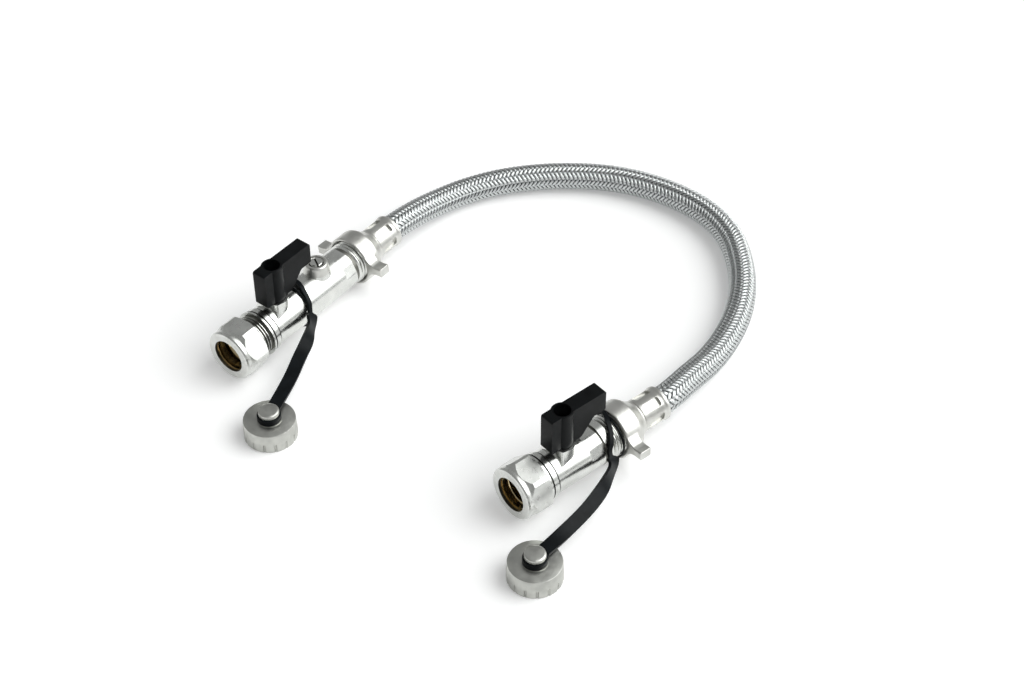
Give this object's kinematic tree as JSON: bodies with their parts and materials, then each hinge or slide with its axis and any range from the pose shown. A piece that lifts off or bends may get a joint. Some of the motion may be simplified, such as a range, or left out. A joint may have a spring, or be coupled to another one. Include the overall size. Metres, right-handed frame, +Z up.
{
  "type": "boiler filling loop",
  "caption": "Filling loop for a heating system: isolating valves with levers, compression ends, capped straps, wing nuts and a braided hose.",
  "frame": {"origin": "middle of the fittings' outer box, on the floor they lie on; the hose isn't counted", "axes": "+Z up; +X from the longer valve to the shorter; +Y from the compression ends to the hose"},
  "size_m": [0.2234, 0.2641, 0.0453],
  "materials": {
    "nickel_plate": "bright nickel plate on brass",
    "satin_casting": "satin nickel plate on cast brass",
    "grey_casting": "dull nickel plate on cast brass",
    "plain_brass": "turned",
    "polished_steel": "polished stainless steel",
    "seat_plastic": "smooth fluoropolymer",
    "check_plastic": "moulded acetal",
    "lever_plastic": "satin black nylon",
    "strap_plastic": "flexible black moulding",
    "seal_rubber": "matt",
    "steel_braid": "rubber hose in a braid of stainless steel wire"
  },
  "bodies": {
    "valves_and_hose": {"braided_hose": "steel_braid", "left_test_screw": "nickel_plate", "left_test_screw_seal": "seal_rubber", "left_check_front_cage": "check_plastic", "left_check_front_spring": "polished_steel", "left_check_rear_cage": "check_plastic", "left_check_rear_spring": "polished_steel", "left_valve_body": "nickel_plate", "left_olive": "plain_brass", "left_seat_front": "seat_plastic", "left_seat_rear": "seat_plastic", "left_seat_retainer": "plain_brass", "left_tail_washer": "seal_rubber", "left_hose_tail": "plain_brass", "left_ferrule": "satin_casting", "right_valve_body": "nickel_plate", "right_olive": "plain_brass", "right_seat_front": "seat_plastic", "right_seat_rear": "seat_plastic", "right_seat_retainer": "plain_brass", "right_tail_washer": "seal_rubber", "right_hose_tail": "plain_brass", "right_ferrule": "satin_casting"},
    "left_nut": {"left_compression_nut": "nickel_plate"},
    "left_lever_and_ball": {"left_lever": "lever_plastic", "left_lever_screw": "polished_steel", "left_stem": "plain_brass", "left_stem_oring": "seal_rubber", "left_ball": "polished_steel"},
    "left_hose_nut": {"left_wing_nut": "satin_casting"},
    "left_strap": {"left_strap": "strap_plastic"},
    "left_cap": {"left_cap": "grey_casting", "left_cap_seal": "seal_rubber"},
    "right_nut": {"right_compression_nut": "nickel_plate"},
    "right_lever_and_ball": {"right_lever": "lever_plastic", "right_lever_screw": "polished_steel", "right_stem": "plain_brass", "right_stem_oring": "seal_rubber", "right_ball": "polished_steel"},
    "right_hose_nut": {"right_wing_nut": "satin_casting"},
    "right_strap": {"right_strap": "strap_plastic"},
    "right_cap": {"right_cap": "grey_casting", "right_cap_seal": "seal_rubber"},
    "left_check_front_poppet": {"left_check_front_poppet": "check_plastic"},
    "left_check_rear_poppet": {"left_check_rear_poppet": "check_plastic"}
  },
  "joints": [
    {"name": "left_lever_quarter_turn", "type": "hinge", "parent": "valves_and_hose", "child": "left_lever_and_ball", "pos_m": [-0.08531, -0.01271, 0.0129], "axis": [0, 0, 1], "range_deg": [-90, 0]},
    {"name": "left_nut_turn", "type": "hinge", "parent": "valves_and_hose", "child": "left_nut", "pos_m": [-0.08205, -0.04369, 0.0129], "axis": [-0.1049, 0.9945, 0], "continuous": true},
    {"name": "left_wing_nut_turn", "type": "hinge", "parent": "valves_and_hose", "child": "left_hose_nut", "pos_m": [-0.09059, 0.03731, 0.0129], "axis": [-0.1049, 0.9945, 0], "continuous": true},
    {"name": "left_strap_swing", "type": "hinge", "parent": "valves_and_hose", "child": "left_strap", "pos_m": [-0.08649, -0.00162, 0.0129], "axis": [0.1049, -0.9945, 0], "range_deg": [-60, 40]},
    {"name": "left_cap_turn", "type": "hinge", "parent": "left_strap", "child": "left_cap", "pos_m": [-0.04142, -0.05615, 0], "axis": [0, 0, 1], "continuous": true},
    {"name": "right_lever_quarter_turn", "type": "hinge", "parent": "valves_and_hose", "child": "right_lever_and_ball", "pos_m": [0.07172, 0.01055, 0.0129], "axis": [0, 0, 1], "range_deg": [-90, 0]},
    {"name": "right_nut_turn", "type": "hinge", "parent": "valves_and_hose", "child": "right_nut", "pos_m": [0.06876, -0.01744, 0.0129], "axis": [0.1049, 0.9945, 0], "continuous": true},
    {"name": "right_wing_nut_turn", "type": "hinge", "parent": "valves_and_hose", "child": "right_hose_nut", "pos_m": [0.07463, 0.0382, 0.0129], "axis": [0.1049, 0.9945, 0], "continuous": true},
    {"name": "right_strap_swing", "type": "hinge", "parent": "valves_and_hose", "child": "right_strap", "pos_m": [0.07449, 0.03691, 0.0129], "axis": [-0.1049, -0.9945, 0], "range_deg": [-60, 40]},
    {"name": "right_cap_turn", "type": "hinge", "parent": "right_strap", "child": "right_cap", "pos_m": [0.0995, -0.03491, 0], "axis": [0, 0, 1], "continuous": true},
    {"name": "left_check_front_opening", "type": "slide", "parent": "valves_and_hose", "child": "left_check_front_poppet", "axis": [-0.1049, 0.9945, 0], "range_m": [0, 0.0022], "stiffness_N_per_m": 60, "springref_m": -0.002, "deforming": ["left_check_front_spring"]},
    {"name": "left_check_rear_opening", "type": "slide", "parent": "valves_and_hose", "child": "left_check_rear_poppet", "axis": [-0.1049, 0.9945, 0], "range_m": [0, 0.0022], "stiffness_N_per_m": 60, "springref_m": -0.002, "deforming": ["left_check_rear_spring"]}
  ]
}
